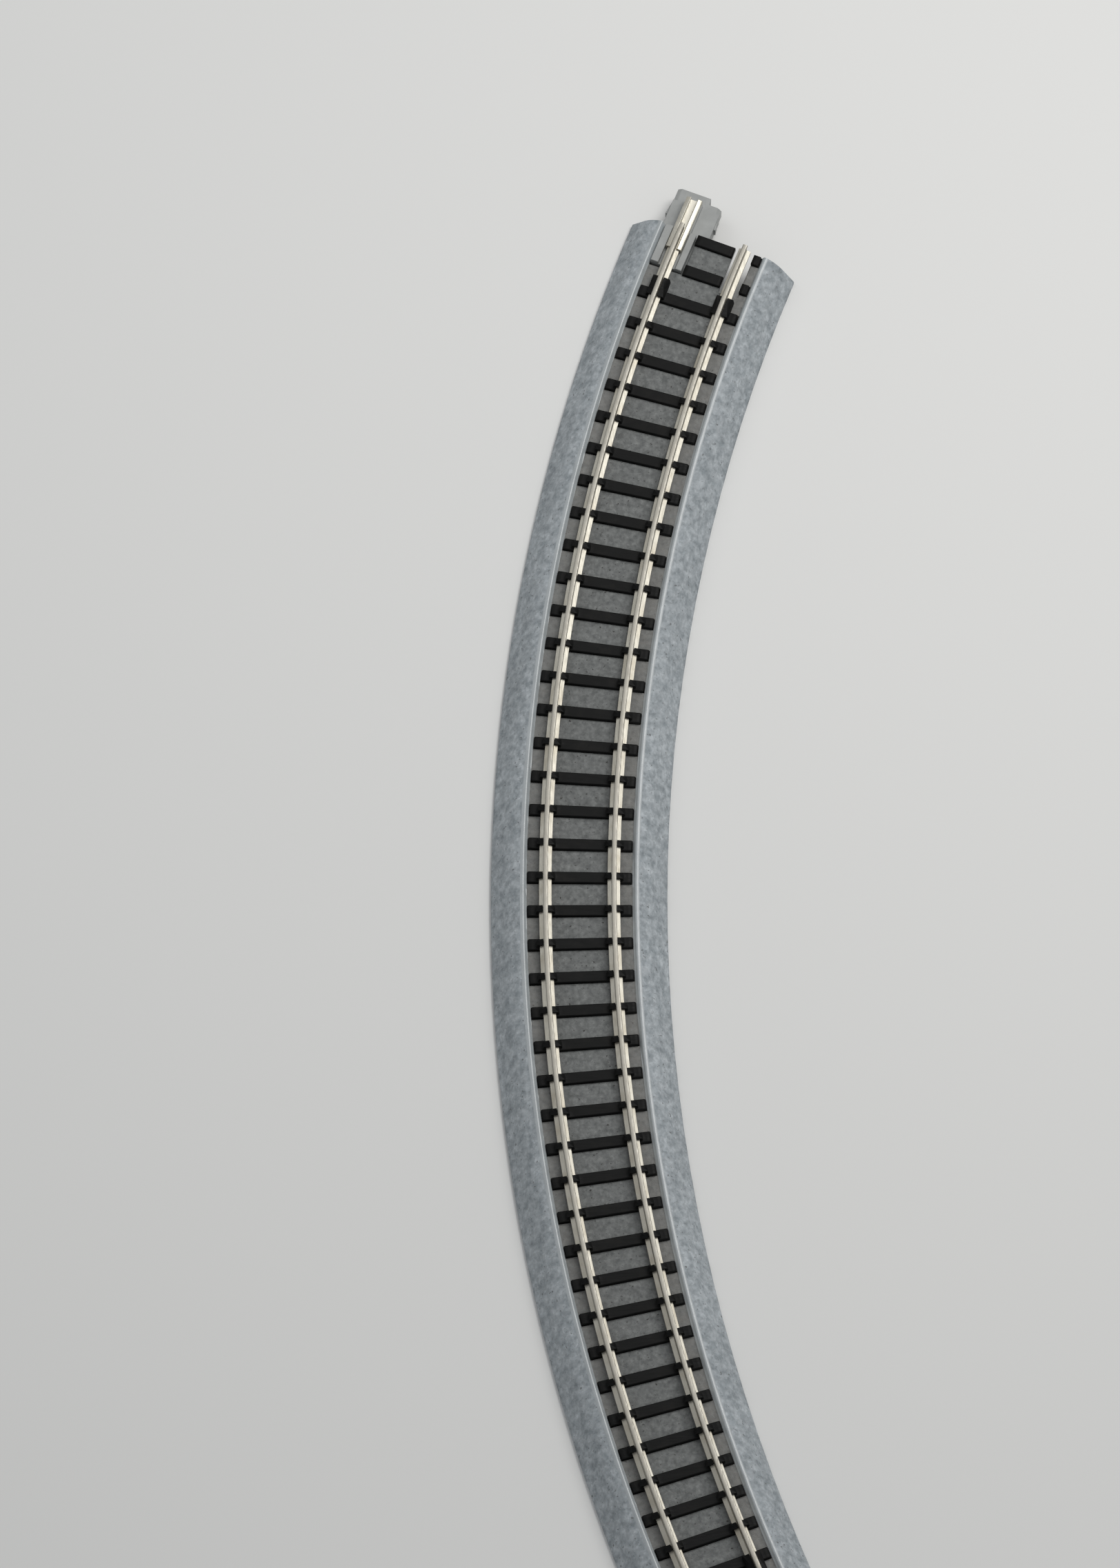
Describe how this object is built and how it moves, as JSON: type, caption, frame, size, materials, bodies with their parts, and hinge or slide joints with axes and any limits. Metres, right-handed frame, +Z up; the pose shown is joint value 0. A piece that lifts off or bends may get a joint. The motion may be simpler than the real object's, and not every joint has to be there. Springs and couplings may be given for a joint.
{
  "type": "model track section",
  "caption": "Curved 9 mm gauge model railway track on a moulded grey roadbed, with dark ties, nickel silver rails and a pull-off rail joiner at each end.",
  "frame": {"origin": "under the middle of the centreline, on the table: the crossing of the middle rib and the spine, at the underside", "axes": "+Z up from the table; +Y along the chord of the curve, towards the end whose joiner is on the outer rail; +X towards the centre of the curve, which is at X = 0.282"},
  "size_m": [0.0455, 0.23, 0.007],
  "materials": {
    "ballast_grey": "matt light grey plastic with a fine moulded ballast grain",
    "tie_brown": "matt near-black brown plastic with a faint wood grain",
    "rail_metal": "bright drawn nickel silver",
    "joiner_grey": "satin mid grey plastic",
    "clip_metal": "bright folded nickel silver"
  },
  "bodies": {
    "track": {"roadbed": "ballast_grey", "tie_ladder": "tie_brown", "outer_rail": "rail_metal", "inner_rail": "rail_metal"},
    "far_joiner": {"far_joiner_housing": "joiner_grey", "far_joiner_clip": "clip_metal"},
    "near_joiner": {"near_joiner_housing": "joiner_grey", "near_joiner_clip": "clip_metal"}
  },
  "joints": [
    {"name": "far_joiner_slide", "type": "slide", "parent": "track", "child": "far_joiner", "axis": [0.3827, 0.9239, 0], "range_m": [0, 0.008]},
    {"name": "near_joiner_slide", "type": "slide", "parent": "track", "child": "near_joiner", "axis": [0.3827, -0.9239, 0], "range_m": [0, 0.008]}
  ]
}
